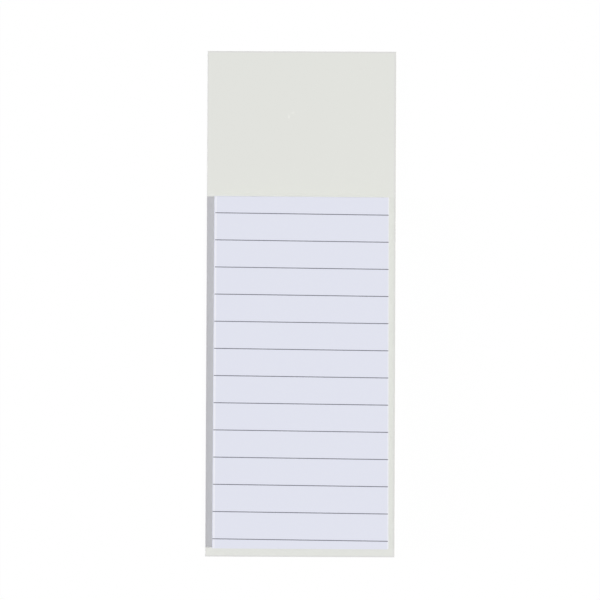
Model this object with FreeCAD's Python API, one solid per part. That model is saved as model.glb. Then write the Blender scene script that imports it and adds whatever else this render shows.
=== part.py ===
import FreeCAD
import Part
import math
import os

# A narrow ruled pad of tear-off leaves, fixed to the lower part of a taller header card.
# The leaves are glued together along their head edge only, so they lie tight there and
# spring a little apart towards the foot. A strip of double-sided tape under the head holds
# the stack on the card.
#
# It lies face up: +X to the reader's right, +Y towards the head, +Z out of the page.
# The origin is the middle of the card's back face. All sizes are in millimetres.

# Header card: one sheet of solid board, its front edges pressed round by the knife.
card_width = 75.0
card_length = 200.8
card_thickness = 0.8
card_edge_radius = 0.15

# Stack of leaves
leaf_count = 50
leaf_thickness = 0.1
pad_length = 138.9
side_margin = 2.95         # card that would show at each side of a stack in the middle of the card
stack_shift = 0.2          # how far to the right of the middle the stack was stuck on
foot_margin = 3.65         # card that shows below the stack
loft_height = 0.35         # height that the free leaves gain as they spring apart
loft_length = 30.0         # distance from the head over which they gain it
foot_curl_height = 0.25    # rise of the foot, where the leaves curl up
foot_curl_length = 18.0

# Film of padding glue on the head edge. It stands fuller at mid height, as it was brushed on, and
# runs out on the card in a hollow fillet, which ends in a toe.
glue_thickness = 0.12
glue_bulge = 0.06
glue_fillet = 0.3
glue_toe = 0.05

# Double-sided tape between the last leaf and the card
tape_width = 15.0
tape_thickness = 0.12
tape_setback = 3.0         # from the head and from each side of the stack

# Ruling: one film of ink per line, printed right across the top leaf
line_pitch = 10.72
first_line = 6.72          # from the head of the leaf to the first line
least_foot_space = 2.0     # bare paper that is left at least below the last line
line_width = 0.27
ink_thickness = 0.02
ruling_skew = 0.57         # degrees that the print is turned clockwise on the cut leaf

# What follows from them
pad_width = card_width - 2 * side_margin
pad_left_x = stack_shift - pad_width / 2
pad_foot_y = -card_length / 2 + foot_margin
pad_head_y = pad_foot_y + pad_length
bound_top_z = card_thickness + leaf_count * leaf_thickness
free_top_z = bound_top_z + loft_height
ruled_length = pad_length - first_line - least_foot_space
line_count = int(ruled_length / line_pitch) + 1

Vector = FreeCAD.Vector
across = Vector(1, 0, 0)
upwards = Vector(0, 0, 1)


def in_profile(y, z):
    """A point of the stack's side profile, which is drawn at the left edge of the leaves."""
    return Vector(pad_left_x, y, z)


def extruded_profile(edges):
    """The solid that a closed side profile sweeps out across the full width of the leaves."""
    return Part.Face(Part.Wire(edges)).extrude(across * pad_width)


def straight(start, end):
    return Part.LineSegment(start, end).toShape()


def smooth(*poles):
    curve = Part.BezierCurve()
    curve.setPoles(list(poles))
    return curve.toShape()


def stack_top():
    """The stack's upper outline from head to foot: tight at the glue, lofted, then curling up."""
    loft_end_y = pad_head_y - loft_length
    curl_start_y = pad_foot_y + foot_curl_length
    loft = smooth(
        in_profile(pad_head_y, bound_top_z),
        in_profile(pad_head_y - loft_length / 2, bound_top_z),
        in_profile(pad_head_y - loft_length / 2, free_top_z),
        in_profile(loft_end_y, free_top_z),
    )
    level = straight(in_profile(loft_end_y, free_top_z), in_profile(curl_start_y, free_top_z))
    curl = smooth(
        in_profile(curl_start_y, free_top_z),
        in_profile(pad_foot_y + foot_curl_length / 2, free_top_z),
        in_profile(pad_foot_y, free_top_z + foot_curl_height),
    )
    return [loft, level, curl]


def backing_card():
    corner = Vector(-card_width / 2, -card_length / 2, 0)
    card = Part.makeBox(card_width, card_length, card_thickness, corner)
    front_edges = [e for e in card.Edges if e.BoundBox.ZMin > card_thickness / 2]
    return card.makeFillet(min(card_edge_radius, card_thickness / 2), front_edges)


def mounting_tape():
    width = pad_width - 2 * tape_setback
    corner = Vector(pad_left_x + tape_setback, pad_head_y - tape_setback - tape_width, card_thickness)
    return Part.makeBox(width, tape_width, tape_thickness, corner)


def sheet_block(tape):
    """All the leaves as one solid. The last ones lie on the card and bend over the tape."""
    head_low = in_profile(pad_head_y, card_thickness)
    head_high = in_profile(pad_head_y, bound_top_z)
    foot_low = in_profile(pad_foot_y, card_thickness)
    foot_high = in_profile(pad_foot_y, free_top_z + foot_curl_height)
    sides = [straight(foot_high, foot_low), straight(foot_low, head_low), straight(head_low, head_high)]
    return extruded_profile(stack_top() + sides).cut(tape)


def head_glue():
    """The dried film on the head edge, thin at the first leaf, with its fillet on the card."""
    inner_low = in_profile(pad_head_y, card_thickness)
    inner_high = in_profile(pad_head_y, bound_top_z)
    outer_y = pad_head_y + glue_thickness
    toe_y = outer_y + glue_fillet
    toe_z = card_thickness + glue_toe
    fillet_z = toe_z + glue_fillet
    hollow = glue_fillet * (1 - math.sqrt(0.5))
    outer_high = in_profile(outer_y, bound_top_z)
    fullest = in_profile(outer_y + glue_bulge, (fillet_z + bound_top_z) / 2)
    fillet_start = in_profile(outer_y, fillet_z)
    fillet_middle = in_profile(outer_y + hollow, toe_z + hollow)
    fillet_end = in_profile(toe_y, toe_z)
    toe_low = in_profile(toe_y, card_thickness)
    return extruded_profile(
        [
            straight(inner_low, inner_high),
            straight(inner_high, outer_high),
            Part.Arc(outer_high, fullest, fillet_start).toShape(),
            Part.Arc(fillet_start, fillet_middle, fillet_end).toShape(),
            straight(fillet_end, toe_low),
            straight(toe_low, inner_low),
        ]
    )


def ink_layer():
    """A film as thick as the ink all over the top leaf, following its loft and curl."""
    lower = stack_top()
    upper = [edge.translated(upwards * ink_thickness) for edge in lower]
    head_end = straight(
        in_profile(pad_head_y, bound_top_z), in_profile(pad_head_y, bound_top_z + ink_thickness)
    )
    foot_z = free_top_z + foot_curl_height
    foot_end = straight(in_profile(pad_foot_y, foot_z), in_profile(pad_foot_y, foot_z + ink_thickness))
    return extruded_profile(Part.sortEdges(lower + upper + [head_end, foot_end])[0])


def ruled_lines():
    """The printed lines: the ink layer, kept only where the skewed rules cross the leaf."""
    rule_length = 2 * pad_width
    rule_depth = 2 * free_top_z
    rules = []
    for number in range(line_count):
        line_y = pad_head_y - first_line - number * line_pitch
        rule = Part.makeBox(rule_length, line_width, rule_depth, Vector(-rule_length / 2, -line_width / 2, 0))
        rule.rotate(Vector(0, 0, 0), upwards, -ruling_skew)
        rule.translate(Vector(stack_shift, line_y, 0))
        rules.append(rule)
    return ink_layer().common(Part.makeCompound(rules))


def write_part(node, shape):
    shape.exportStep(os.path.join("parts", node + ".step"))
    print(node, "solids", len(shape.Solids), "volume", round(shape.Volume, 3), "valid", shape.isValid())


os.makedirs("parts", exist_ok=True)
tape_strip = mounting_tape()
write_part("backing_card", backing_card())
write_part("mounting_tape", tape_strip)
write_part("sheet_block", sheet_block(tape_strip))
write_part("head_glue", head_glue())
write_part("ruled_lines", ruled_lines())
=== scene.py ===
import math

import bpy
from mathutils import Euler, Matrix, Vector


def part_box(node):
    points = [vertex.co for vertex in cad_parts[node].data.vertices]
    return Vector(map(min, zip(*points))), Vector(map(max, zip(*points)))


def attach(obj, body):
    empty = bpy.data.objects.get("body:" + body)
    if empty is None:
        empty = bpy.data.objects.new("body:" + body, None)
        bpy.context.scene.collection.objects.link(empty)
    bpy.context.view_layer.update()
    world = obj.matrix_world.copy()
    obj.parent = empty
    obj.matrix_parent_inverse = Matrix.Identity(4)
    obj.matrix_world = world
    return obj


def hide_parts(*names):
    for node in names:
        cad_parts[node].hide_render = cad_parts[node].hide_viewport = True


# A narrow pad of ruled leaves, glued at the head and taped to a taller blank header card.
# It lies face up on a pale table: +X to the reader's right, +Y to the head, +Z out of the page.

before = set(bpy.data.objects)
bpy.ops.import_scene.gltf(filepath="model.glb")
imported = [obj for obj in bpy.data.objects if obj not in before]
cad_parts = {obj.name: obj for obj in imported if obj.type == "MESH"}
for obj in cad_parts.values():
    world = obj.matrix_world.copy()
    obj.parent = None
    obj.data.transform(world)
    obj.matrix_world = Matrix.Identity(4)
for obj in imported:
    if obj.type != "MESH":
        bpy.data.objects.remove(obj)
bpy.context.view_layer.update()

mm = 0.001
sharp_angle = math.radians(40)           # between two faces, from which their edge stays sharp

# Places read from the frame
card_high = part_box("backing_card")[1]
stack_low, stack_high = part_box("sheet_block")
glue_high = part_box("head_glue")[1]
tape_low, tape_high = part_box("mounting_tape")
card_top = card_high.z
pad_width = stack_high.x - stack_low.x
stack_shift = (stack_high.x + stack_low.x) / 2
pad_length = stack_high.y - stack_low.y
head_y = stack_high.y
bound_height = glue_high.z - card_top
tape_height = tape_high.z - card_top
tape_reach = head_y - tape_low.y

# Leaves
leaf_count = 50
leaf_thickness = 0.096 * mm
loft_length = 30 * mm                    # from the head, over which the leaves spring apart
curl_height = 0.25 * mm                  # rise of the foot
curl_length = 18 * mm
free_height = stack_high.z - card_top - curl_height
settle_length = 12 * mm                  # over which the last leaves come down off the tape
cockle_height = 0.05 * mm                # how far the free paper waves
cockle_size = 45 * mm
lean = 0.1 * mm                          # how far right of the top leaf the lowest one lies at the head
fan = 0.3 * mm                           # how much further it does so at the foot
stray = 0.05 * mm                        # how unevenly the free edges lie
flare = 0.32 * mm                        # how much wider the leaves are at the foot, all on the right
head_slope = math.tan(math.radians(0.18))  # the leaves aren't cut quite square
foot_slope = 0.0                         # the foot is cut square
stack_turn = math.radians(0.08)          # clockwise, as the stack was stuck on
stack_seed = 7
top_leaf_grid = (16, 72)                 # faces across and along a leaf
lower_leaf_grid = (8, 36)
highlight_set_in = 0.33 * mm                 # how far in from each side a band of painted highlight lies
highlight_reach = 0.6 * mm                   # half the width of that band
highlight_shift = 0.33 * mm                  # how much further in it lies on the left

# Ruling
line_count = 13
line_pitch = 10.72 * mm
first_line = 6.76 * mm
line_width = 0.33 * mm
ink_height = 0.014 * mm
ink_sink = 0.004 * mm                    # how deep the ink lies in the paper
line_inset = 0.05 * mm                   # bare paper at each end of a line
late_start = 0.4 * mm                    # how much more there is on the left at the head
ruling_slope = math.tan(math.radians(0.5))
ink_spread = 0.1                         # unevenness of a line's edges, as a share of its width
grain_step = 10 * mm                     # how far apart two edges read the unevenness
cast_height = stack_high.z + 5 * mm      # from which the lines are lowered onto the page
line_steps = 140                         # faces along a line

# Glue film
glue_thickness = 0.12 * mm
glue_bulge = 0.06 * mm
glue_fillet = 0.45 * mm                  # the hollow foot in which it runs out on the card
glue_toe = 0.03 * mm
glue_tuck = 0.03 * mm                    # how far it has crept between the leaves' ends
glue_sink = 0.005 * mm                   # how far it has soaked into the card
glue_rim = 0.9 * mm                      # over which it thins out at its upper edge
glue_rim_share = 0.35                    # share of its thickness that is left there
brush_depth = 0.3                        # share of its thickness that the brush marks take
glue_grid = (160, 60)                    # faces across and up the film

# The card's outline carries painted shade, a greyer band where its rounded edge turns from the light,
# more so on the right
card_rim_set_in = 0.2 * mm
card_rim_reach = 0.8 * mm
card_rim_shift = 0.2 * mm

# A small round dent in the header
dent_middle = Vector((-3.9 * mm, 74.4 * mm, card_top))
dent_radius = 1.1 * mm
dent_depth = 0.06 * mm

# Painted highlights where light catches its rim, a long one at its left and a weak one at its upper
# right: the middle, the length in Y, that length over the width, and the strength of each
painted_dent_spots = (
    (Vector((-5.05 * mm, 74.35 * mm, card_top)), 2.6 * mm, 2.0, 0.85),
    (Vector((-3.5 * mm, 75.95 * mm, card_top)), 1.4 * mm, 0.75, 0.5),
)

# Relief of the surfaces, from the lowest place to the highest
board_relief = dent_depth
paper_relief = 0.003 * mm
glue_relief = 0.02 * mm
tape_relief = 0.01 * mm

# Light. The four levels light an open level face at 1, so that a colour looks as it is written. The
# side lamp is as much warmer as the others together are cooler.
room_level = 0.36
upper_lamp_level = 0.16
side_lamp_level = 0.4
fill_lamp_level = 0.08
cool_light = (0.975, 0.963, 1.045)
warm_light = [(1 - share * (1 - side_lamp_level)) / side_lamp_level for share in cool_light]
lamp_distance = 12.0                     # from the pad to each lamp
side_lamp_azimuth = math.radians(-0.5)   # from +X towards +Y
side_lamp_height = math.radians(54)      # above the table
side_lamp_spread = (math.radians(8), math.radians(8))
fill_lamp_azimuth = math.radians(180)
fill_lamp_height = math.radians(10)
fill_lamp_spread = (math.radians(5), math.radians(8))
upper_lamp_height = math.radians(90)
upper_lamp_spread = (math.radians(10), math.radians(10))
table_size = 6.0
table_gap = 0.02 * mm                    # between the table and the card's back
table_glow = 0.95                        # share of its own light that keeps the table white to the camera

# Camera
camera_place = Vector((0.76 * mm, -13.5 * mm, 900 * mm))
camera_turn = Euler([math.radians(angle) for angle in (0.953, 0.066, 0.249)])
camera_lens = 135.83                     # focal length in millimetres


class Wiring:
    """A node tree while it is wired: each call adds a node and feeds its sockets."""

    def __init__(self, tree):
        self.tree = tree

    def feed(self, socket, value):
        if isinstance(value, bpy.types.NodeSocket):
            self.tree.links.new(value, socket)
        else:
            socket.default_value = value

    def add(self, kind, feeds=None, **settings):
        node = self.tree.nodes.new(kind)
        for name, value in settings.items():
            setattr(node, name, value)
        for socket, value in (feeds or {}).items():
            self.feed(node.inputs[socket], value)
        return node

    def math(self, operation, *values):
        return self.add("ShaderNodeMath", dict(enumerate(values)), operation=operation).outputs[0]

    def total(self, first, *others):
        for value in others:
            first = self.math("ADD", first, value)
        return first

    def product(self, first, *others):
        for value in others:
            first = self.math("MULTIPLY", first, value)
        return first

    def difference(self, first, other):
        return self.math("SUBTRACT", first, other)

    def quotient(self, first, other):
        return self.math("DIVIDE", first, other)

    def ease(self, value, start, end, low=0.0, high=1.0, course="SMOOTHSTEP"):
        """low up to start, high from end on, and that course between them."""
        feeds = {"Value": value, "From Min": start, "From Max": end, "To Min": low, "To Max": high}
        return self.add("ShaderNodeMapRange", feeds, interpolation_type=course, clamp=True).outputs[0]

    def blend(self, share, low, high):
        return self.add("ShaderNodeMix", {0: share, 2: low, 3: high}, data_type="FLOAT").outputs[0]

    def tint(self, share, low, high):
        return self.add("ShaderNodeMix", {0: share, 6: low, 7: high}, data_type="RGBA").outputs[2]

    def split(self, vector):
        return self.add("ShaderNodeSeparateXYZ", {0: vector}).outputs

    def join(self, x, y, z):
        return self.add("ShaderNodeCombineXYZ", {0: x, 1: y, 2: z}).outputs[0]

    def vector(self, operation, first, other, output=0):
        return self.add("ShaderNodeVectorMath", {0: first, 1: other}, operation=operation).outputs[output]

    def turned(self, vector, middle, angle):
        feeds = {"Vector": vector, "Center": middle, "Angle": angle}
        return self.add("ShaderNodeVectorRotate", feeds, rotation_type="Z_AXIS").outputs[0]

    def noise(self, place, scale, detail=2.0, roughness=0.5):
        feeds = {"Vector": place, "Scale": scale, "Detail": detail, "Roughness": roughness}
        return self.add("ShaderNodeTexNoise", feeds).outputs[0]


def new_group(name, kind, inlets, outlets):
    """An empty node group with these sockets: its wiring and its inputs."""
    tree = bpy.data.node_groups.new(name, kind)
    for label, socket_type in inlets.items():
        tree.interface.new_socket(label, in_out="INPUT", socket_type="NodeSocket" + socket_type)
    for label, socket_type in outlets.items():
        tree.interface.new_socket(label, in_out="OUTPUT", socket_type="NodeSocket" + socket_type)
    wiring = Wiring(tree)
    return wiring, wiring.add("NodeGroupInput").outputs


def screen(red, green, blue):
    """A colour as the screen shows it, 0 to 255, as the linear colour that a shader takes."""
    shares = [value / 255 for value in (red, green, blue)]
    return [s / 12.92 if s <= 0.04045 else ((s + 0.055) / 1.055) ** 2.4 for s in shares] + [1.0]


# Effects that several materials share

def paper_fibres_group():
    """Cloud: how evenly the pulp lies. Fibres: the height of crossing fibres bedded into the face."""
    inlets = {"Place": "Vector", "Cloud Size": "Float", "Fibre Size": "Float"}
    outlets = {"Cloud": "Float", "Fibres": "Float"}
    wiring, inlet = new_group("paper fibres", "ShaderNodeTree", inlets, outlets)
    cloud = wiring.noise(inlet["Place"], wiring.quotient(1.0, inlet["Cloud Size"]), 4.0, 0.6)
    fibre_scale = wiring.quotient(1.0, inlet["Fibre Size"])
    fibres = 0.0
    # Three layers of fibres, each about eight times as long as wide
    for degrees in (12, 74, 131):
        turned = wiring.turned(inlet["Place"], (0.0, 0.0, 0.0), math.radians(degrees))
        strand = wiring.noise(wiring.vector("MULTIPLY", turned, (0.12, 1.0, 1.0)), fibre_scale)
        from_ridge = wiring.math("ABSOLUTE", wiring.difference(strand, 0.5))
        fibres = wiring.math("MAXIMUM", fibres, wiring.ease(from_ridge, 0.0, 0.16, 1.0, 0.0))
    wiring.add("NodeGroupOutput", {"Cloud": cloud, "Fibres": fibres})
    return wiring.tree


def knife_cut_group():
    """Layers: streaks along a cut edge. Nicks: the fine marks that the knife leaves across it."""
    inlets = {"Place": "Vector", "Layer Size": "Float"}
    outlets = {"Layers": "Float", "Nicks": "Float"}
    wiring, inlet = new_group("knife cut", "ShaderNodeTree", inlets, outlets)
    scale = wiring.quotient(1.0, inlet["Layer Size"])
    layers = wiring.noise(wiring.vector("MULTIPLY", inlet["Place"], (0.04, 0.04, 1.0)), scale, 3.0, 0.6)
    nicks = wiring.noise(wiring.vector("MULTIPLY", inlet["Place"], (1.0, 1.0, 0.15)), scale)
    wiring.add("NodeGroupOutput", {"Layers": layers, "Nicks": nicks})
    return wiring.tree


def painted_edge_rim_group():
    """Rim: a soft band along a flat sheet's outline, set in and unevenly wide, for painted shade or a
    painted highlight.
    """
    lengths = ("Set In", "Reach")
    places = ("Place", "Middle", "Half Size")
    inlets = {**dict.fromkeys(places, "Vector"), **dict.fromkeys(lengths, "Float")}
    wiring, inlet = new_group("rubbed rim", "ShaderNodeTree", inlets, {"Rim": "Float"})
    from_middle = wiring.vector("SUBTRACT", inlet["Place"], inlet["Middle"])
    outwards = wiring.add("ShaderNodeVectorMath", {0: from_middle}, operation="ABSOLUTE").outputs[0]
    side, end, _ = wiring.split(wiring.vector("SUBTRACT", inlet["Half Size"], outwards))
    patches = wiring.ease(wiring.noise(inlet["Place"], 0.5 / mm), 0.3, 0.7, 0.7, 1.0)
    reach = wiring.product(inlet["Reach"], patches)
    inwards = wiring.math("MINIMUM", side, end)
    from_band = wiring.math("ABSOLUTE", wiring.difference(inwards, inlet["Set In"]))
    rim = wiring.ease(from_band, 0.0, reach, 1.0, 0.0)
    wiring.add("NodeGroupOutput", {"Rim": rim})
    return wiring.tree


paper_fibres = paper_fibres_group()
knife_cut = knife_cut_group()
painted_edge_rim = painted_edge_rim_group()


# Materials

def new_material(name, refraction, gloss):
    """A material that only has a shader yet: its wiring, its shader and the place on the piece."""
    material = bpy.data.materials.new(name)
    material.use_nodes = True
    material.node_tree.nodes.clear()
    wiring = Wiring(material.node_tree)
    shader = wiring.add("ShaderNodeBsdfPrincipled", {"IOR": refraction, "Specular IOR Level": gloss})
    wiring.add("ShaderNodeOutputMaterial", {"Surface": shader.outputs[0]})
    place = wiring.add("ShaderNodeTexCoord").outputs["Object"]
    return material, wiring, shader, place


def finish_shader(wiring, shader, colour, roughness, height, relief):
    """Feeds the shader its colour, its roughness and the relief of a height that runs from 0 to 1."""
    feeds = {"Strength": 1.0, "Distance": relief, "Height": height}
    normal = wiring.add("ShaderNodeBump", feeds).outputs[0]
    wiring.feed(shader.inputs["Base Color"], colour)
    wiring.feed(shader.inputs["Roughness"], roughness)
    wiring.feed(shader.inputs["Normal"], normal)


def use_group(wiring, group, **feeds):
    spaced = {label.replace("_", " "): value for label, value in feeds.items()}
    node = wiring.add("ShaderNodeGroup", node_tree=group)
    for label, value in spaced.items():
        wiring.feed(node.inputs[label], value)
    return node.outputs


def board_material():
    """Solid board: a smooth coated front, a layered core at its cut edges and an uncoated back."""
    material, wiring, shader, place = new_material("coated board", 1.45, 0.35)
    pulp = use_group(wiring, paper_fibres, Place=place, Cloud_Size=9 * mm, Fibre_Size=0.5 * mm)
    cut = use_group(wiring, knife_cut, Place=place, Layer_Size=0.1 * mm)
    rim = use_group(
        wiring,
        painted_edge_rim,
        Place=place,
        Middle=(-card_rim_shift, 0.0, 0.0),
        Half_Size=card_high,
        Set_In=card_rim_set_in,
        Reach=card_rim_reach,
    )["Rim"]
    _, _, z = wiring.split(place)
    front = wiring.ease(z, card_top - 0.1 * mm, card_top - 0.02 * mm)
    back = wiring.ease(z, 0.0, 0.03 * mm, 1.0, 0.0)

    coated = wiring.tint(pulp["Cloud"], screen(222.9, 223.9, 218.9), screen(223.9, 224.9, 219.9))
    # Painted shade: a greyer band along the card's outline, where its rounded edge turns from the light
    painted_edge = wiring.tint(wiring.product(rim, 0.8), coated, screen(218, 217.5, 216))
    core = wiring.tint(cut["Layers"], screen(208, 205, 196), screen(226, 224, 216))
    reverse = wiring.tint(pulp["Fibres"], screen(219, 217, 209), screen(226, 224, 217))
    # Painted highlights on the dent, lighter spots where its rim catches the light
    dent_glint = 0.0
    for middle, length, slimness, strength in painted_dent_spots:
        from_middle = wiring.vector("SUBTRACT", place, middle)
        slimmed = wiring.vector("MULTIPLY", from_middle, (slimness, 1.0, 1.0))
        away = wiring.vector("DISTANCE", slimmed, (0.0, 0.0, 0.0), "Value")
        dent_glint = wiring.math("MAXIMUM", dent_glint, wiring.ease(away, 0.0, length / 2, strength, 0.0))
    glinted = wiring.tint(dent_glint, painted_edge, screen(234, 235, 230))
    colour = wiring.tint(back, wiring.tint(front, core, glinted), reverse)

    # Heights as shares of the dent's depth
    to_dent = wiring.vector("DISTANCE", place, dent_middle, "Value")
    dent = wiring.ease(to_dent, 0.0, dent_radius)
    coating = wiring.product(wiring.noise(place, 2.2 / mm, 3.0), 0.015)
    front_height = wiring.total(coating, wiring.product(pulp["Cloud"], 0.1), dent)
    rough_height = wiring.product(wiring.total(pulp["Fibres"], cut["Nicks"]), 0.08)
    height = wiring.blend(front, rough_height, front_height)
    roughness = wiring.blend(front, 0.9, wiring.ease(pulp["Cloud"], 0.3, 0.7, 0.52, 0.6))
    finish_shader(wiring, shader, colour, roughness, height, board_relief)
    return material


def paper_material():
    """Uncoated bluish white paper. Its cut edges are duller, painted darker as shade between leaves, and
    each leaf's is its own.
    """
    material, wiring, shader, place = new_material("writing paper", 1.45, 0.2)
    pulp = use_group(wiring, paper_fibres, Place=place, Cloud_Size=6 * mm, Fibre_Size=0.25 * mm)
    cut = use_group(wiring, knife_cut, Place=place, Layer_Size=0.08 * mm)
    on_leaf = wiring.add("ShaderNodeAttribute", attribute_name="leaf_place").outputs["Vector"]
    highlight_band = use_group(
        wiring,
        painted_edge_rim,
        Place=on_leaf,
        Middle=(highlight_shift, 0.0, 0.0),
        Half_Size=(pad_width / 2, pad_length, 0.0),
        Set_In=highlight_set_in,
        Reach=highlight_reach,
    )["Rim"]
    edge = wiring.add("ShaderNodeAttribute", attribute_name="cut_edge").outputs["Fac"]
    shade = wiring.add("ShaderNodeAttribute", attribute_name="leaf_shade").outputs["Fac"]

    face = wiring.tint(pulp["Cloud"], screen(223.9, 225.9, 238.2), screen(225.1, 227.1, 239.2))
    flecked = wiring.tint(wiring.product(pulp["Fibres"], 0.2), face, screen(229, 231, 241))
    # Painted highlight: a light band just in from the leaf's sides, where its edges catch the light
    highlighted = wiring.tint(wiring.product(highlight_band, 0.9), flecked, screen(240, 240, 247))
    # Painted shade: the cut edges are darker than the face, for the shade between the leaves' layers
    fresh_cut = wiring.tint(cut["Nicks"], screen(209, 211, 220), screen(227, 229, 236))
    leaf_edge = wiring.tint(wiring.product(shade, 0.5), fresh_cut, screen(199, 201, 209))
    colour = wiring.tint(edge, highlighted, leaf_edge)

    face_height = wiring.total(pulp["Fibres"], wiring.product(pulp["Cloud"], 0.6))
    height = wiring.blend(edge, face_height, cut["Nicks"])
    roughness = wiring.ease(pulp["Cloud"], 0.3, 0.7, 0.82, 0.9)
    finish_shader(wiring, shader, colour, roughness, height, paper_relief)
    return material


def ink_material():
    """Blue-grey printing ink that has sunk unevenly into the paper."""
    material, wiring, shader, place = new_material("ruling ink", 1.45, 0.2)
    pulp = use_group(wiring, paper_fibres, Place=place, Cloud_Size=1.2 * mm, Fibre_Size=0.25 * mm)
    soaked = wiring.ease(pulp["Cloud"], 0.3, 0.7)
    inked = wiring.tint(soaked, screen(112, 113, 125), screen(100, 101, 113))
    colour = wiring.tint(wiring.product(pulp["Fibres"], 0.2), inked, screen(140, 141, 153))
    roughness = wiring.ease(pulp["Cloud"], 0.3, 0.7, 0.7, 0.85)
    finish_shader(wiring, shader, colour, roughness, pulp["Fibres"], paper_relief)
    return material


def glue_material():
    """Dried padding glue: milky and satin, streaked by the brush, with the leaves' ends behind it.

    It is painted palest at its thin upper edge and where it runs out on the card: painted light against
    the shade at the head edge.
    """
    material, wiring, shader, place = new_material("padding glue", 1.48, 0.4)
    streaks = wiring.noise(wiring.vector("MULTIPLY", place, (0.08, 1.0, 1.0)), 2.5 / mm, 3.0)
    pools = wiring.noise(place, 0.25 / mm)
    leaf_ends = use_group(wiring, knife_cut, Place=place, Layer_Size=0.1 * mm)["Layers"]
    clear = wiring.tint(wiring.ease(leaf_ends, 0.35, 0.65), screen(192, 194, 194), screen(212, 214, 214))
    milky = wiring.tint(pools, screen(207, 209, 206), screen(215, 217, 214))
    covered = wiring.ease(streaks, 0.35, 0.65, 0.45, 0.95)
    _, _, z = wiring.split(place)
    # Painted light: paler at the foot on the card and at the thin upper rim, to lift the shade in the
    # crevice at the head edge
    near_card = wiring.ease(z, card_top, card_top + glue_fillet, 1.0, 0.0)
    thin = wiring.ease(z, glue_high.z - glue_rim, glue_high.z - glue_rim / 2)
    painted_pale = wiring.math("MAXIMUM", near_card, thin)
    colour = wiring.tint(painted_pale, wiring.tint(covered, clear, milky), screen(238, 240, 242))
    roughness = wiring.ease(streaks, 0.35, 0.65, 0.36, 0.55)
    height = wiring.total(streaks, wiring.product(leaf_ends, 0.3))
    finish_shader(wiring, shader, colour, roughness, height, glue_relief)
    return material


def tape_material():
    """Double-sided tissue tape: a dull web of long fibres."""
    material, wiring, shader, place = new_material("tissue tape", 1.47, 0.5)
    web = use_group(wiring, paper_fibres, Place=place, Cloud_Size=4 * mm, Fibre_Size=0.6 * mm)
    colour = wiring.tint(web["Fibres"], screen(232, 230, 222), screen(242, 241, 236))
    roughness = wiring.ease(web["Cloud"], 0.3, 0.7, 0.45, 0.6)
    finish_shader(wiring, shader, colour, roughness, web["Fibres"], tape_relief)
    return material


def table_material():
    """A matt white table that takes the pad's shadow but stays white to the camera."""
    material = bpy.data.materials.new("white table")
    material.use_nodes = True
    material.node_tree.nodes.clear()
    wiring = Wiring(material.node_tree)
    seen = camera_sees(wiring)
    lit = wiring.add("ShaderNodeBsdfDiffuse", {"Color": screen(255, 255, 255)}).outputs[0]
    dull = wiring.add("ShaderNodeBsdfDiffuse", {"Color": screen(230, 230, 230)}).outputs[0]
    glow = wiring.add("ShaderNodeEmission", {"Color": screen(255, 255, 255), "Strength": 1.0}).outputs[0]
    shown = wiring.add("ShaderNodeMixShader", {0: table_glow, 1: lit, 2: glow}).outputs[0]
    surface = wiring.add("ShaderNodeMixShader", {0: seen, 1: dull, 2: shown}).outputs[0]
    wiring.add("ShaderNodeOutputMaterial", {"Surface": surface})
    return material


def camera_sees(wiring):
    """1 for rays that show the surroundings to the camera, straight or in a gloss or a glass."""
    path = wiring.add("ShaderNodeLightPath").outputs
    mirrored = wiring.math("MAXIMUM", path["Is Glossy Ray"], path["Is Transmission Ray"])
    return wiring.math("MAXIMUM", path["Is Camera Ray"], mirrored)


# Shapes made by rule

def stored(wiring, geometry, name, value, kind="FLOAT", domain="POINT"):
    feeds = {"Geometry": geometry, "Name": name, "Value": value}
    return wiring.add("GeometryNodeStoreNamedAttribute", feeds, data_type=kind, domain=domain).outputs[0]


def recalled(wiring, name):
    return wiring.add("GeometryNodeInputNamedAttribute", {"Name": name}, data_type="FLOAT").outputs[0]


def random_share(wiring, seed, number):
    """An even random value from 0 to 1 for each point, another one for each number."""
    feeds = {2: 0.0, 3: 1.0, "Seed": wiring.total(seed, number)}
    return wiring.add("FunctionNodeRandomValue", feeds, data_type="FLOAT").outputs[1]


def numbered_points(wiring, count):
    """That many points, each of which knows its number."""
    feeds = {"Count": count, "Offset": (0.0, 0.0, 0.0)}
    points = wiring.add("GeometryNodeMeshLine", feeds, mode="OFFSET").outputs[0]
    return stored(wiring, points, "number", wiring.add("GeometryNodeInputIndex").outputs[0])


def block(wiring, size, columns, rows, layers=1.0):
    """A box of that size with its faces divided."""
    feeds = {"Size": size}
    for axis, steps in (("X", columns), ("Y", rows), ("Z", layers)):
        feeds["Vertices " + axis] = wiring.total(steps, 1.0)
    return wiring.add("GeometryNodeMeshCube", feeds).outputs[0]


def copies(wiring, points, shape):
    """A copy of the shape for each point, as real mesh that keeps what the point carries."""
    placed = wiring.add("GeometryNodeInstanceOnPoints", {"Points": points, "Instance": shape}).outputs[0]
    return wiring.add("GeometryNodeRealizeInstances", {"Geometry": placed}).outputs[0]


def current_place(wiring):
    return wiring.add("GeometryNodeInputPosition").outputs[0]


def placed_at(wiring, geometry, place):
    return wiring.add("GeometryNodeSetPosition", {"Geometry": geometry, "Position": place}).outputs[0]


def stuck_on(wiring, place, inlet):
    """The place, turned with the whole stack about the middle of its head and shifted with it."""
    middle = wiring.join(0.0, inlet["Head Y"], 0.0)
    turned = wiring.turned(place, middle, wiring.product(inlet["Turn"], -1.0))
    return wiring.vector("ADD", turned, wiring.join(inlet["Shift"], 0.0, 0.0))


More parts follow.
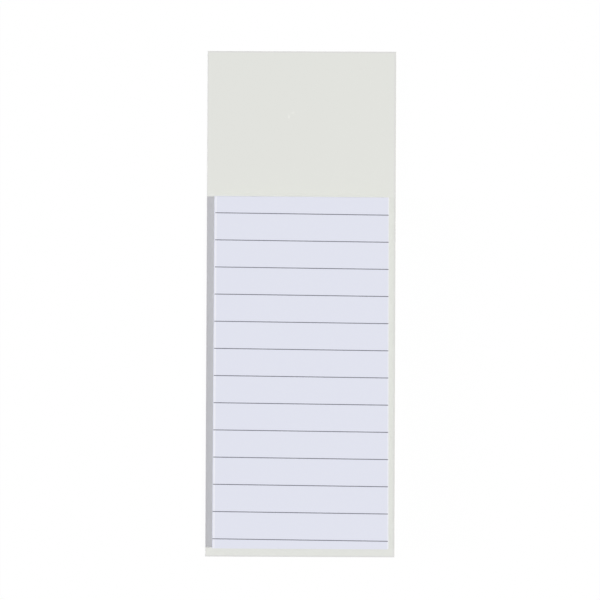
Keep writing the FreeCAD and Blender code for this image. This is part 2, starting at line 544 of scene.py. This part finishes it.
def finished(wiring, geometry, material):
    """The tree's end: smooth faces between sharp box edges, in that material."""
    angle = wiring.add("GeometryNodeInputMeshEdgeAngle").outputs["Unsigned Angle"]
    feeds = {"A": angle, "B": sharp_angle}
    is_sharp = wiring.add("FunctionNodeCompare", feeds, data_type="FLOAT", operation="GREATER_THAN")
    creased = stored(wiring, geometry, "sharp_edge", is_sharp.outputs[0], "BOOLEAN", "EDGE")
    smooth = wiring.add("GeometryNodeSetShadeSmooth", {"Geometry": creased}).outputs[0]
    real = wiring.add("GeometryNodeRealizeInstances", {"Geometry": smooth}).outputs[0]
    coated = wiring.add("GeometryNodeSetMaterial", {"Geometry": real, "Material": material}).outputs[0]
    wiring.add("NodeGroupOutput", {"Geometry": coated})


def leaf_points(wiring, inlet):
    """One point for each leaf wanted, which carries what sets that leaf apart."""
    count, seed = inlet["Leaf Count"], inlet["Seed"]
    points = numbered_points(wiring, count)
    own_number = recalled(wiring, "number")
    above = wiring.difference(wiring.difference(count, 1.0), own_number)
    points = stored(wiring, points, "leaf_shade", random_share(wiring, seed, 0))
    # The top leaf doesn't stray, and the next few only a little
    calm = wiring.math("MINIMUM", wiring.product(above, 0.25), 1.0)
    for name, number in (("side_stray", 1), ("foot_stray", 2)):
        swing = wiring.product(wiring.difference(random_share(wiring, seed, number), 0.5), 2.0)
        points = stored(wiring, points, name, wiring.product(swing, calm))
    for name, number in (("left_room", 3), ("right_room", 4)):
        # A few gaps take most of the spare height, so that the edge shows bundles of leaves
        gap = wiring.total(wiring.math("POWER", random_share(wiring, seed, number), 5.0), 0.02)
        gap = wiring.product(gap, wiring.math("MINIMUM", above, 1.0))
        sums = wiring.add("GeometryNodeAccumulateField", {0: gap}, data_type="FLOAT").outputs
        points = stored(wiring, points, name, wiring.quotient(sums["Trailing"], sums["Total"]))
    too_low = wiring.math("LESS_THAN", own_number, wiring.difference(inlet["First Made"], 0.5))
    too_high = wiring.math("GREATER_THAN", own_number, wiring.total(inlet["Last Made"], 0.5))
    feeds = {"Geometry": points, "Selection": wiring.math("MAXIMUM", too_low, too_high)}
    return wiring.add("GeometryNodeDeleteGeometry", feeds, domain="POINT").outputs[0]


def leaf_pile_tree():
    """Leaves lying on each other: tight at the glued head, looser and fanned towards the foot."""
    whole = ("Leaf Count", "First Made", "Last Made", "Columns", "Rows", "Seed")
    lengths = (
        "Leaf Width",
        "Leaf Length",
        "Leaf Thickness",
        "Head Y",
        "Card Top",
        "Bound Height",
        "Free Height",
        "Loft Length",
        "Curl Height",
        "Curl Length",
        "Tape Height",
        "Tape Reach",
        "Settle Length",
        "Cockle Height",
        "Cockle Size",
        "Lean",
        "Fan",
        "Stray",
        "Flare",
        "Head Slope",
        "Foot Slope",
        "Turn",
        "Shift",
    )
    inlets = {**dict.fromkeys(whole, "Int"), **dict.fromkeys(lengths, "Float"), "Paper": "Material"}
    wiring, inlet = new_group("leaf pile", "GeometryNodeTree", inlets, {"Geometry": "Geometry"})
    count, length, thickness = inlet["Leaf Count"], inlet["Leaf Length"], inlet["Leaf Thickness"]
    number = recalled(wiring, "number")

    size = wiring.join(inlet["Leaf Width"], length, thickness)
    leaf = block(wiring, size, inlet["Columns"], inlet["Rows"])
    pile = copies(wiring, leaf_points(wiring, inlet), leaf)
    pile = stored(wiring, pile, "leaf_place", current_place(wiring), "FLOAT_VECTOR")
    _, _, facing_up = wiring.split(wiring.add("GeometryNodeInputNormal").outputs[0])
    upright = wiring.math("LESS_THAN", wiring.math("ABSOLUTE", facing_up), 0.5)
    pile = stored(wiring, pile, "cut_edge", upright, domain="FACE")

    # Height of the stack's upper and lower side, at this distance down from the head
    x, y, z = wiring.split(current_place(wiring))
    down = wiring.difference(wiring.product(length, 0.5), y)
    spring = wiring.difference(inlet["Free Height"], inlet["Bound Height"])
    lofted = wiring.ease(down, 0.0, inlet["Loft Length"], 0.0, spring, "SMOOTHERSTEP")
    curl_start = wiring.difference(length, inlet["Curl Length"])
    curl_share = wiring.ease(down, curl_start, length, course="LINEAR")
    curled = wiring.product(curl_share, curl_share, inlet["Curl Height"])
    waves = wiring.noise(wiring.join(x, y, 0.0), wiring.quotient(1.0, inlet["Cockle Size"]), 1.0)
    cockle = wiring.product(waves, inlet["Cockle Height"], wiring.ease(down, 0.0, inlet["Loft Length"]))
    upper = wiring.difference(wiring.total(inlet["Bound Height"], lofted, curled), cockle)
    settled = wiring.total(inlet["Tape Reach"], inlet["Settle Length"])
    lower = wiring.ease(down, inlet["Tape Reach"], settled, inlet["Tape Height"], 0.0)

    # This leaf's place between them
    spare = wiring.difference(wiring.difference(upper, lower), wiring.product(count, thickness))
    side = wiring.total(wiring.quotient(x, inlet["Leaf Width"]), 0.5)
    share = wiring.blend(side, recalled(wiring, "left_room"), recalled(wiring, "right_room"))
    leaves_under = wiring.product(wiring.total(number, 0.5), thickness)
    new_z = wiring.total(inlet["Card Top"], lower, leaves_under, wiring.product(spare, share), z)

    # How far it stands out sideways and at the foot
    depth = wiring.difference(1.0, wiring.quotient(wiring.total(number, 1.0), count))
    free = wiring.quotient(down, length)
    slant = wiring.total(inlet["Lean"], wiring.product(inlet["Fan"], free))
    free_stray = wiring.product(inlet["Stray"], free)
    side_stray = wiring.product(recalled(wiring, "side_stray"), free_stray)
    foot_stray = wiring.product(recalled(wiring, "foot_stray"), free_stray)
    flared = wiring.product(inlet["Flare"], side, wiring.difference(free, 0.5))
    new_x = wiring.total(x, wiring.product(slant, depth), side_stray, flared)
    skew = wiring.product(x, wiring.blend(free, inlet["Head Slope"], inlet["Foot Slope"]))
    new_y = wiring.difference(wiring.total(wiring.difference(inlet["Head Y"], down), foot_stray), skew)
    pile = placed_at(wiring, pile, stuck_on(wiring, wiring.join(new_x, new_y, new_z), inlet))
    finished(wiring, pile, inlet["Paper"])
    return wiring.tree


def ruling_tree():
    """Printed lines that lie on the page they are given, slanted, with slightly uneven edges."""
    whole = ("Line Count", "Steps")
    lengths = (
        "Pitch",
        "First Line",
        "Leaf Width",
        "Leaf Length",
        "Inset",
        "Late Start",
        "Flare",
        "Line Width",
        "Ink Height",
        "Ink Sink",
        "Slope",
        "Spread",
        "Grain Step",
        "Head Y",
        "Turn",
        "Shift",
        "Cast Height",
    )
    inlets = {**dict.fromkeys(whole, "Int"), **dict.fromkeys(lengths, "Float")}
    inlets |= {"Page": "Object", "Ink": "Material"}
    wiring, inlet = new_group("ruling", "GeometryNodeTree", inlets, {"Geometry": "Geometry"})
    number = recalled(wiring, "number")

    strip = block(wiring, (1.0, 1.0, 1.0), inlet["Steps"], 1.0)
    lines = copies(wiring, numbered_points(wiring, inlet["Line Count"]), strip)
    u, v, w = wiring.split(current_place(wiring))
    lines = stored(wiring, lines, "ink_side", wiring.total(w, 0.5))

    # Each line on a flat leaf
    from_head = wiring.total(inlet["First Line"], wiring.product(number, inlet["Pitch"]))
    free = wiring.quotient(from_head, inlet["Leaf Length"])
    half_length = wiring.difference(wiring.product(inlet["Leaf Width"], 0.5), inlet["Inset"])
    late = wiring.product(inlet["Late Start"], wiring.difference(1.0, free))
    flared = wiring.product(inlet["Flare"], wiring.difference(free, 0.5))
    start = wiring.difference(late, half_length)
    x = wiring.blend(wiring.total(u, 0.5), start, wiring.total(half_length, flared))
    grain_place = wiring.join(x, wiring.product(wiring.total(number, v), inlet["Grain Step"]), 0.0)
    grain = wiring.difference(wiring.noise(grain_place, 1.6 / mm), 0.5)
    swell = wiring.total(wiring.product(grain, inlet["Spread"], 2.0), 1.0)
    across = wiring.product(v, inlet["Line Width"], swell)
    down = wiring.total(from_head, wiring.product(x, inlet["Slope"]))
    y = wiring.total(wiring.difference(inlet["Head Y"], down), across)
    place = stuck_on(wiring, wiring.join(x, y, inlet["Cast Height"]), inlet)
    lines = placed_at(wiring, lines, place)

    # Down onto the page
    page = wiring.add("GeometryNodeObjectInfo", {"Object": inlet["Page"]}).outputs["Geometry"]
    above = current_place(wiring)
    feeds = {"Target Geometry": page, "Source Position": above, "Ray Direction": (0.0, 0.0, -1.0)}
    landing = wiring.add("GeometryNodeRaycast", feeds).outputs["Hit Position"]
    rise = wiring.blend(
        recalled(wiring, "ink_side"), wiring.product(inlet["Ink Sink"], -1.0), inlet["Ink Height"]
    )
    lines = placed_at(wiring, lines, wiring.vector("ADD", landing, wiring.join(0.0, 0.0, rise)))
    finished(wiring, lines, inlet["Ink"])
    return wiring.tree


def glue_film_tree():
    """The film brushed on the leaves' heads: streaked, thin at its upper rim, with a hollow foot."""
    lengths = (
        "Film Width",
        "Low Z",
        "High Z",
        "Head Y",
        "Thickness",
        "Bulge",
        "Fillet",
        "Toe",
        "Tuck",
        "Rim",
        "Rim Share",
        "Brush Depth",
        "Lean",
        "Flare",
        "Head Slope",
        "Turn",
        "Shift",
    )
    inlets = {"Columns": "Int", "Layers": "Int", **dict.fromkeys(lengths, "Float"), "Glue": "Material"}
    wiring, inlet = new_group("glue film", "GeometryNodeTree", inlets, {"Geometry": "Geometry"})
    height = wiring.difference(inlet["High Z"], inlet["Low Z"])
    size = wiring.join(inlet["Film Width"], 1.0, height)
    film = block(wiring, size, inlet["Columns"], 1.0, inlet["Layers"])
    x, y, z = wiring.split(current_place(wiring))
    from_middle = wiring.quotient(z, wiring.product(height, 0.5))
    fullness = wiring.difference(1.0, wiring.product(from_middle, from_middle))
    to_rim = wiring.difference(wiring.product(height, 0.5), z)
    thinned = wiring.ease(to_rim, 0.0, inlet["Rim"], inlet["Rim Share"], 1.0)
    above_toe = wiring.difference(wiring.total(z, wiring.product(height, 0.5)), inlet["Toe"])
    run = wiring.ease(above_toe, 0.0, inlet["Fillet"], 1.0, 0.0, "LINEAR")
    arc = wiring.math("SQRT", wiring.difference(1.0, wiring.product(run, run)))
    hollow = wiring.difference(1.0, arc)
    foot = wiring.product(hollow, inlet["Fillet"])
    # The brush was drawn along the head, so its marks are long in X
    drawn_out = wiring.vector("MULTIPLY", wiring.join(x, 0.0, z), (0.06, 1.0, 1.0))
    streaks = wiring.noise(drawn_out, 1.1 / mm, 3.0)
    brushed = wiring.difference(1.0, wiring.product(streaks, inlet["Brush Depth"]))
    full = wiring.total(inlet["Thickness"], wiring.product(inlet["Bulge"], fullness))
    outer = wiring.total(wiring.product(full, thinned, brushed), foot)
    outwards = wiring.blend(wiring.total(y, 0.5), wiring.product(inlet["Tuck"], -1.0), outer)
    depth = wiring.difference(0.5, wiring.product(from_middle, 0.5))
    side = wiring.total(wiring.quotient(x, inlet["Film Width"]), 0.5)
    flared = wiring.product(inlet["Flare"], side, -0.5)
    new_x = wiring.total(x, wiring.product(inlet["Lean"], depth), flared)
    head = wiring.difference(inlet["Head Y"], wiring.product(x, inlet["Head Slope"]))
    new_z = wiring.total(z, wiring.product(wiring.total(inlet["Low Z"], inlet["High Z"]), 0.5))
    place = stuck_on(wiring, wiring.join(new_x, wiring.total(head, outwards), new_z), inlet)
    finished(wiring, placed_at(wiring, film, place), inlet["Glue"])
    return wiring.tree


# Pieces

def show(thing):
    """Puts it in the scene."""
    bpy.context.scene.collection.objects.link(thing)
    return thing


def made_by_rule(name, tree, **values):
    """The piece that the tree makes from these values, as a plain mesh."""
    maker = show(bpy.data.objects.new(name + "_maker", bpy.data.meshes.new(name + "_start")))
    modifier = maker.modifiers.new("rule", "NODES")
    modifier.node_group = tree
    for socket in tree.interface.items_tree:
        if socket.in_out == "INPUT":
            modifier[socket.identifier] = values[socket.name.replace(" ", "_").lower()]
    ready = maker.evaluated_get(bpy.context.evaluated_depsgraph_get())
    mesh = bpy.data.meshes.new_from_object(ready)
    mesh.name = name
    maker.modifiers.remove(modifier)
    bpy.data.objects.remove(maker)
    return show(bpy.data.objects.new(name, mesh))


def leaves(name, first, last, grid, paper):
    """The leaves from the first to the last of these numbers, counted from the card."""
    columns, rows = grid
    return made_by_rule(
        name,
        leaf_pile,
        leaf_count=leaf_count,
        first_made=first,
        last_made=last,
        columns=columns,
        rows=rows,
        seed=stack_seed,
        leaf_width=pad_width,
        leaf_length=pad_length,
        leaf_thickness=leaf_thickness,
        head_y=head_y,
        card_top=card_top,
        bound_height=bound_height,
        free_height=free_height,
        loft_length=loft_length,
        curl_height=curl_height,
        curl_length=curl_length,
        tape_height=tape_height,
        tape_reach=tape_reach,
        settle_length=settle_length,
        cockle_height=cockle_height,
        cockle_size=cockle_size,
        lean=lean,
        fan=fan,
        stray=stray,
        flare=flare,
        head_slope=head_slope,
        foot_slope=foot_slope,
        turn=stack_turn,
        shift=stack_shift,
        paper=paper,
    )


def ruling(page, ink):
    """The printed lines, lying on that page."""
    return made_by_rule(
        "ruling",
        ruling_tree(),
        page=page,
        line_count=line_count,
        steps=line_steps,
        pitch=line_pitch,
        first_line=first_line,
        leaf_width=pad_width,
        leaf_length=pad_length,
        inset=line_inset,
        late_start=late_start,
        flare=flare,
        line_width=line_width,
        ink_height=ink_height,
        ink_sink=ink_sink,
        slope=ruling_slope,
        spread=ink_spread,
        grain_step=grain_step,
        head_y=head_y,
        turn=stack_turn,
        shift=stack_shift,
        cast_height=cast_height,
        ink=ink,
    )


def glue_film(glue):
    """The film of glue that holds the leaves together at their heads."""
    columns, layers = glue_grid
    return made_by_rule(
        "head_glue_film",
        glue_film_tree(),
        columns=columns,
        layers=layers,
        film_width=pad_width,
        low_z=card_top - glue_sink,
        high_z=glue_high.z,
        head_y=head_y,
        thickness=glue_thickness,
        bulge=glue_bulge,
        fillet=glue_fillet,
        toe=glue_toe,
        tuck=glue_tuck,
        rim=glue_rim,
        rim_share=glue_rim_share,
        brush_depth=brush_depth,
        lean=lean,
        flare=flare,
        head_slope=head_slope,
        turn=stack_turn,
        shift=stack_shift,
        glue=glue,
    )


def stand_for(piece, node):
    """Says that the piece is seen in place of this node and stays with the root."""
    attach(piece, "root")
    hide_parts(node)


def repaint(node, material):
    """Gives a node of the frame this material and leaves its mesh alone."""
    for material_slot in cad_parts[node].material_slots:
        material_slot.material = material


# Surroundings

def table():
    half = table_size / 2
    corners = [(-half, -half), (half, -half), (half, half), (-half, half)]
    mesh = bpy.data.meshes.new("table")
    mesh.from_pydata([(x, y, -table_gap) for x, y in corners], [], [(0, 1, 2, 3)])
    mesh.materials.append(table_material())
    show(bpy.data.objects.new("table", mesh))


def room_light():
    """Even light from all round, at the room's level, that is plain white to the camera."""
    world = bpy.data.worlds.new("room")
    world.use_nodes = True
    world.node_tree.nodes.clear()
    wiring = Wiring(world.node_tree)
    seen = camera_sees(wiring)
    strength = wiring.blend(seen, room_level, 1.0)
    colour = wiring.tint(seen, [*cool_light, 1.0], screen(255, 255, 255))
    light = wiring.add("ShaderNodeBackground", {"Color": colour, "Strength": strength}).outputs[0]
    wiring.add("ShaderNodeOutputWorld", {"Surface": light})
    bpy.context.scene.world = world


def soft_lamp(name, level, colour, azimuth, height, spread):
    """A soft box at this place in the room, as wide and high as spread says when seen from the pad."""
    light = bpy.data.lights.new(name, "AREA")
    light.shape = "RECTANGLE"
    light.size, light.size_y = (2 * lamp_distance * math.tan(angle / 2) for angle in spread)
    # The power with which it lights a level face at the level wanted
    light.energy = level * (math.pi * lamp_distance) ** 2 / math.sin(height)
    light.color = colour
    towards = Euler((0.0, -height, azimuth)).to_matrix() @ Vector((1.0, 0.0, 0.0))
    stand = show(bpy.data.objects.new(name, light))
    stand.location = towards * lamp_distance
    stand.rotation_euler = towards.to_track_quat("Z", "Y").to_euler()


def camera():
    eye = show(bpy.data.objects.new("camera", bpy.data.cameras.new("camera")))
    eye.location = camera_place
    eye.rotation_euler = camera_turn
    eye.data.lens = camera_lens
    bpy.context.scene.camera = eye


# The pad

leaf_pile = leaf_pile_tree()
paper = paper_material()
top_leaf = leaves("top_leaf", leaf_count - 1, leaf_count - 1, top_leaf_grid, paper)
leaves_below = leaves("leaves_below", 0, leaf_count - 2, lower_leaf_grid, paper)
stand_for(ruling(top_leaf, ink_material()), "ruled_lines")
stand_for(glue_film(glue_material()), "head_glue")
stand_for(top_leaf, "sheet_block")
stand_for(leaves_below, "sheet_block")
repaint("backing_card", board_material())
repaint("mounting_tape", tape_material())

table()
room_light()
soft_lamp("side_lamp", side_lamp_level, warm_light, side_lamp_azimuth, side_lamp_height, side_lamp_spread)
soft_lamp("fill_lamp", fill_lamp_level, cool_light, fill_lamp_azimuth, fill_lamp_height, fill_lamp_spread)
soft_lamp("upper_lamp", upper_lamp_level, cool_light, 0.0, upper_lamp_height, upper_lamp_spread)
camera()
bpy.context.scene.view_settings.view_transform = "Standard"
